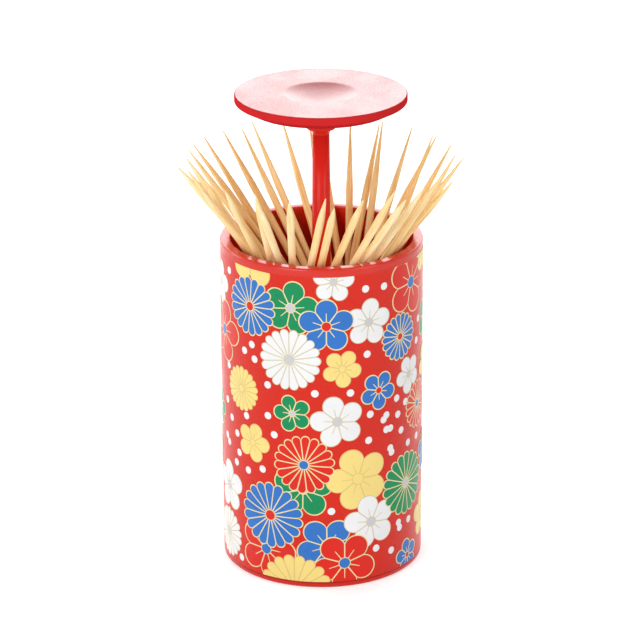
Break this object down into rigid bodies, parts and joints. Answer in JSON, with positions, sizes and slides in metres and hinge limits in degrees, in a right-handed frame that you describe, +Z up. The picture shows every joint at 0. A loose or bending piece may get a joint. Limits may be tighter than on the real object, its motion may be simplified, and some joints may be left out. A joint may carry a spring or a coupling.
{
  "type": "pop-up toothpick dispenser",
  "caption": "Upright round canister with a push lid on a stem; the lid rises on a spring and lifts a fan of wooden toothpicks out of the mouth.",
  "frame": {"origin": "middle of the face that the canister stands on", "axes": "+Z up along the stem, towards the lid; -Y towards the viewer"},
  "size_m": [0.0702, 0.07, 0.1206],
  "materials": {
    "red_abs": "satin moulded ABS, floral print on the sleeve",
    "red_pom": "plain moulded acetal",
    "zinc_steel": "bright zinc plate",
    "spring_steel": "drawn spring wire",
    "birch": "bare turned birch"
  },
  "bodies": {
    "canister": {"outer_sleeve": "red_abs", "inner_liner": "red_abs", "base_cap": "red_abs", "arm_screw": "zinc_steel", "lift_spring": "spring_steel"},
    "latch_swing": {"latch_arm": "red_pom"},
    "lifter": {"lid_disc": "red_abs", "lid_stem": "red_abs", "pick_carrier": "red_pom", "stem_screw": "zinc_steel", "screw_washer": "zinc_steel", "latch_cam": "red_pom"},
    "pick_01_body": {"pick_01": "birch"},
    "pick_02_body": {"pick_02": "birch"},
    "pick_03_body": {"pick_03": "birch"},
    "pick_04_body": {"pick_04": "birch"},
    "pick_05_body": {"pick_05": "birch"},
    "pick_06_body": {"pick_06": "birch"},
    "pick_07_body": {"pick_07": "birch"},
    "pick_08_body": {"pick_08": "birch"},
    "pick_09_body": {"pick_09": "birch"},
    "pick_10_body": {"pick_10": "birch"},
    "pick_11_body": {"pick_11": "birch"},
    "pick_12_body": {"pick_12": "birch"},
    "pick_13_body": {"pick_13": "birch"},
    "pick_14_body": {"pick_14": "birch"},
    "pick_15_body": {"pick_15": "birch"},
    "pick_16_body": {"pick_16": "birch"},
    "pick_17_body": {"pick_17": "birch"},
    "pick_18_body": {"pick_18": "birch"},
    "pick_19_body": {"pick_19": "birch"},
    "pick_20_body": {"pick_20": "birch"},
    "pick_21_body": {"pick_21": "birch"},
    "pick_22_body": {"pick_22": "birch"},
    "pick_23_body": {"pick_23": "birch"},
    "pick_24_body": {"pick_24": "birch"},
    "pick_25_body": {"pick_25": "birch"},
    "pick_26_body": {"pick_26": "birch"},
    "pick_27_body": {"pick_27": "birch"},
    "pick_28_body": {"pick_28": "birch"},
    "pick_29_body": {"pick_29": "birch"},
    "pick_30_body": {"pick_30": "birch"},
    "pick_31_body": {"pick_31": "birch"},
    "pick_32_body": {"pick_32": "birch"},
    "pick_33_body": {"pick_33": "birch"},
    "pick_34_body": {"pick_34": "birch"},
    "pick_35_body": {"pick_35": "birch"},
    "pick_36_body": {"pick_36": "birch"}
  },
  "joints": [
    {"name": "lift", "type": "slide", "parent": "canister", "child": "lifter", "axis": [0, 0, 1], "range_m": [-0.03759, 0], "stiffness_N_per_m": 67, "springref_m": 0.018, "deforming": ["lift_spring"]},
    {"name": "arm_swing", "type": "hinge", "parent": "canister", "child": "latch_swing", "pos_m": [0.0076, -0.0064, 0.0091], "axis": [0, 0, 1], "range_deg": [-23.91, 0]},
    {"name": "pick_01_lean", "type": "hinge", "parent": "lifter", "child": "pick_01_body", "pos_m": [-0.00132, -0.00461, 0.05543], "axis": [-0.2069, 0.9784, 0], "range_deg": [-32.9, 0]},
    {"name": "pick_02_lean", "type": "hinge", "parent": "lifter", "child": "pick_02_body", "pos_m": [0.00229, -0.00597, 0.05395], "axis": [-0.4702, 0.8825, 0], "range_deg": [-28.83, 0]},
    {"name": "pick_03_lean", "type": "hinge", "parent": "lifter", "child": "pick_03_body", "pos_m": [0.00523, -0.00592, 0.05344], "axis": [-0.7145, 0.6996, 0], "range_deg": [-27.3, 0]},
    {"name": "pick_04_lean", "type": "hinge", "parent": "lifter", "child": "pick_04_body", "pos_m": [0.00116, -0.00466, 0.05543], "axis": [-0.6683, 0.7439, 0], "range_deg": [-32.9, 0]},
    {"name": "pick_05_lean", "type": "hinge", "parent": "lifter", "child": "pick_05_body", "pos_m": [0.00497, -0.00403, 0.05395], "axis": [-0.8485, 0.5292, 0], "range_deg": [-28.83, 0]},
    {"name": "pick_06_lean", "type": "hinge", "parent": "lifter", "child": "pick_06_body", "pos_m": [0.00749, -0.00251, 0.05344], "axis": [-0.9686, 0.2486, 0], "range_deg": [-27.3, 0]},
    {"name": "pick_07_lean", "type": "hinge", "parent": "lifter", "child": "pick_07_body", "pos_m": [0.00333, -0.00345, 0.05543], "axis": [-0.9507, 0.31, 0], "range_deg": [-32.9, 0]},
    {"name": "pick_08_lean", "type": "hinge", "parent": "lifter", "child": "pick_08_body", "pos_m": [0.00632, -0.001, 0.05395], "axis": [-0.9994, 0.034, 0], "range_deg": [-28.83, 0]},
    {"name": "pick_09_lean", "type": "hinge", "parent": "lifter", "child": "pick_09_body", "pos_m": [0.00774, 0.00158, 0.05344], "axis": [-0.9631, -0.269, 0], "range_deg": [-27.3, 0]},
    {"name": "pick_10_lean", "type": "hinge", "parent": "lifter", "child": "pick_10_body", "pos_m": [0.00461, -0.00132, 0.05543], "axis": [-0.9784, -0.2069, 0], "range_deg": [-32.9, 0]},
    {"name": "pick_11_lean", "type": "hinge", "parent": "lifter", "child": "pick_11_body", "pos_m": [0.00597, 0.00229, 0.05395], "axis": [-0.8825, -0.4702, 0], "range_deg": [-28.83, 0]},
    {"name": "pick_12_lean", "type": "hinge", "parent": "lifter", "child": "pick_12_body", "pos_m": [0.00592, 0.00523, 0.05344], "axis": [-0.6996, -0.7145, 0], "range_deg": [-27.3, 0]},
    {"name": "pick_13_lean", "type": "hinge", "parent": "lifter", "child": "pick_13_body", "pos_m": [0.00466, 0.00116, 0.05543], "axis": [-0.7439, -0.6683, 0], "range_deg": [-32.9, 0]},
    {"name": "pick_14_lean", "type": "hinge", "parent": "lifter", "child": "pick_14_body", "pos_m": [0.00403, 0.00497, 0.05395], "axis": [-0.5292, -0.8485, 0], "range_deg": [-28.83, 0]},
    {"name": "pick_15_lean", "type": "hinge", "parent": "lifter", "child": "pick_15_body", "pos_m": [0.00251, 0.00749, 0.05344], "axis": [-0.2486, -0.9686, 0], "range_deg": [-27.3, 0]},
    {"name": "pick_16_lean", "type": "hinge", "parent": "lifter", "child": "pick_16_body", "pos_m": [0.00345, 0.00333, 0.05543], "axis": [-0.31, -0.9507, 0], "range_deg": [-32.9, 0]},
    {"name": "pick_17_lean", "type": "hinge", "parent": "lifter", "child": "pick_17_body", "pos_m": [0.001, 0.00632, 0.05395], "axis": [-0.034, -0.9994, 0], "range_deg": [-28.83, 0]},
    {"name": "pick_18_lean", "type": "hinge", "parent": "lifter", "child": "pick_18_body", "pos_m": [-0.00158, 0.00774, 0.05344], "axis": [0.269, -0.9631, 0], "range_deg": [-27.3, 0]},
    {"name": "pick_19_lean", "type": "hinge", "parent": "lifter", "child": "pick_19_body", "pos_m": [0.00132, 0.00461, 0.05543], "axis": [0.2069, -0.9784, 0], "range_deg": [-32.9, 0]},
    {"name": "pick_20_lean", "type": "hinge", "parent": "lifter", "child": "pick_20_body", "pos_m": [-0.00229, 0.00597, 0.05395], "axis": [0.4702, -0.8825, 0], "range_deg": [-28.83, 0]},
    {"name": "pick_21_lean", "type": "hinge", "parent": "lifter", "child": "pick_21_body", "pos_m": [-0.00523, 0.00592, 0.05344], "axis": [0.7145, -0.6996, 0], "range_deg": [-27.3, 0]},
    {"name": "pick_22_lean", "type": "hinge", "parent": "lifter", "child": "pick_22_body", "pos_m": [-0.00116, 0.00466, 0.05543], "axis": [0.6683, -0.7439, 0], "range_deg": [-32.9, 0]},
    {"name": "pick_23_lean", "type": "hinge", "parent": "lifter", "child": "pick_23_body", "pos_m": [-0.00497, 0.00403, 0.05395], "axis": [0.8485, -0.5292, 0], "range_deg": [-28.83, 0]},
    {"name": "pick_24_lean", "type": "hinge", "parent": "lifter", "child": "pick_24_body", "pos_m": [-0.00749, 0.00251, 0.05344], "axis": [0.9686, -0.2486, 0], "range_deg": [-27.3, 0]},
    {"name": "pick_25_lean", "type": "hinge", "parent": "lifter", "child": "pick_25_body", "pos_m": [-0.00333, 0.00345, 0.05543], "axis": [0.9507, -0.31, 0], "range_deg": [-32.9, 0]},
    {"name": "pick_26_lean", "type": "hinge", "parent": "lifter", "child": "pick_26_body", "pos_m": [-0.00632, 0.001, 0.05395], "axis": [0.9994, -0.034, 0], "range_deg": [-28.83, 0]},
    {"name": "pick_27_lean", "type": "hinge", "parent": "lifter", "child": "pick_27_body", "pos_m": [-0.00774, -0.00158, 0.05344], "axis": [0.9631, 0.269, 0], "range_deg": [-27.3, 0]},
    {"name": "pick_28_lean", "type": "hinge", "parent": "lifter", "child": "pick_28_body", "pos_m": [-0.00461, 0.00132, 0.05543], "axis": [0.9784, 0.2069, 0], "range_deg": [-32.9, 0]},
    {"name": "pick_29_lean", "type": "hinge", "parent": "lifter", "child": "pick_29_body", "pos_m": [-0.00597, -0.00229, 0.05395], "axis": [0.8825, 0.4702, 0], "range_deg": [-28.83, 0]},
    {"name": "pick_30_lean", "type": "hinge", "parent": "lifter", "child": "pick_30_body", "pos_m": [-0.00592, -0.00523, 0.05344], "axis": [0.6996, 0.7145, 0], "range_deg": [-27.3, 0]},
    {"name": "pick_31_lean", "type": "hinge", "parent": "lifter", "child": "pick_31_body", "pos_m": [-0.00466, -0.00116, 0.05543], "axis": [0.7439, 0.6683, 0], "range_deg": [-32.9, 0]},
    {"name": "pick_32_lean", "type": "hinge", "parent": "lifter", "child": "pick_32_body", "pos_m": [-0.00403, -0.00497, 0.05395], "axis": [0.5292, 0.8485, 0], "range_deg": [-28.83, 0]},
    {"name": "pick_33_lean", "type": "hinge", "parent": "lifter", "child": "pick_33_body", "pos_m": [-0.00251, -0.00749, 0.05344], "axis": [0.2486, 0.9686, 0], "range_deg": [-27.3, 0]},
    {"name": "pick_34_lean", "type": "hinge", "parent": "lifter", "child": "pick_34_body", "pos_m": [-0.00345, -0.00333, 0.05543], "axis": [0.31, 0.9507, 0], "range_deg": [-32.9, 0]},
    {"name": "pick_35_lean", "type": "hinge", "parent": "lifter", "child": "pick_35_body", "pos_m": [-0.001, -0.00632, 0.05395], "axis": [0.034, 0.9994, 0], "range_deg": [-28.83, 0]},
    {"name": "pick_36_lean", "type": "hinge", "parent": "lifter", "child": "pick_36_body", "pos_m": [0.00158, -0.00774, 0.05344], "axis": [-0.269, 0.9631, 0], "range_deg": [-27.3, 0]}
  ],
  "couplings": [
    {"joint": "pick_01_lean", "follows": "lift", "rad_per_m": 15.254},
    {"joint": "pick_02_lean", "follows": "lift", "rad_per_m": 13.363},
    {"joint": "pick_03_lean", "follows": "lift", "rad_per_m": 12.654},
    {"joint": "pick_04_lean", "follows": "lift", "rad_per_m": 15.254},
    {"joint": "pick_05_lean", "follows": "lift", "rad_per_m": 13.363},
    {"joint": "pick_06_lean", "follows": "lift", "rad_per_m": 12.654},
    {"joint": "pick_07_lean", "follows": "lift", "rad_per_m": 15.254},
    {"joint": "pick_08_lean", "follows": "lift", "rad_per_m": 13.363},
    {"joint": "pick_09_lean", "follows": "lift", "rad_per_m": 12.654},
    {"joint": "pick_10_lean", "follows": "lift", "rad_per_m": 15.254},
    {"joint": "pick_11_lean", "follows": "lift", "rad_per_m": 13.363},
    {"joint": "pick_12_lean", "follows": "lift", "rad_per_m": 12.654},
    {"joint": "pick_13_lean", "follows": "lift", "rad_per_m": 15.254},
    {"joint": "pick_14_lean", "follows": "lift", "rad_per_m": 13.363},
    {"joint": "pick_15_lean", "follows": "lift", "rad_per_m": 12.654},
    {"joint": "pick_16_lean", "follows": "lift", "rad_per_m": 15.254},
    {"joint": "pick_17_lean", "follows": "lift", "rad_per_m": 13.363},
    {"joint": "pick_18_lean", "follows": "lift", "rad_per_m": 12.654},
    {"joint": "pick_19_lean", "follows": "lift", "rad_per_m": 15.254},
    {"joint": "pick_20_lean", "follows": "lift", "rad_per_m": 13.363},
    {"joint": "pick_21_lean", "follows": "lift", "rad_per_m": 12.654},
    {"joint": "pick_22_lean", "follows": "lift", "rad_per_m": 15.254},
    {"joint": "pick_23_lean", "follows": "lift", "rad_per_m": 13.363},
    {"joint": "pick_24_lean", "follows": "lift", "rad_per_m": 12.654},
    {"joint": "pick_25_lean", "follows": "lift", "rad_per_m": 15.254},
    {"joint": "pick_26_lean", "follows": "lift", "rad_per_m": 13.363},
    {"joint": "pick_27_lean", "follows": "lift", "rad_per_m": 12.654},
    {"joint": "pick_28_lean", "follows": "lift", "rad_per_m": 15.254},
    {"joint": "pick_29_lean", "follows": "lift", "rad_per_m": 13.363},
    {"joint": "pick_30_lean", "follows": "lift", "rad_per_m": 12.654},
    {"joint": "pick_31_lean", "follows": "lift", "rad_per_m": 15.254},
    {"joint": "pick_32_lean", "follows": "lift", "rad_per_m": 13.363},
    {"joint": "pick_33_lean", "follows": "lift", "rad_per_m": 12.654},
    {"joint": "pick_34_lean", "follows": "lift", "rad_per_m": 15.254},
    {"joint": "pick_35_lean", "follows": "lift", "rad_per_m": 13.363},
    {"joint": "pick_36_lean", "follows": "lift", "rad_per_m": 12.654}
  ]
}
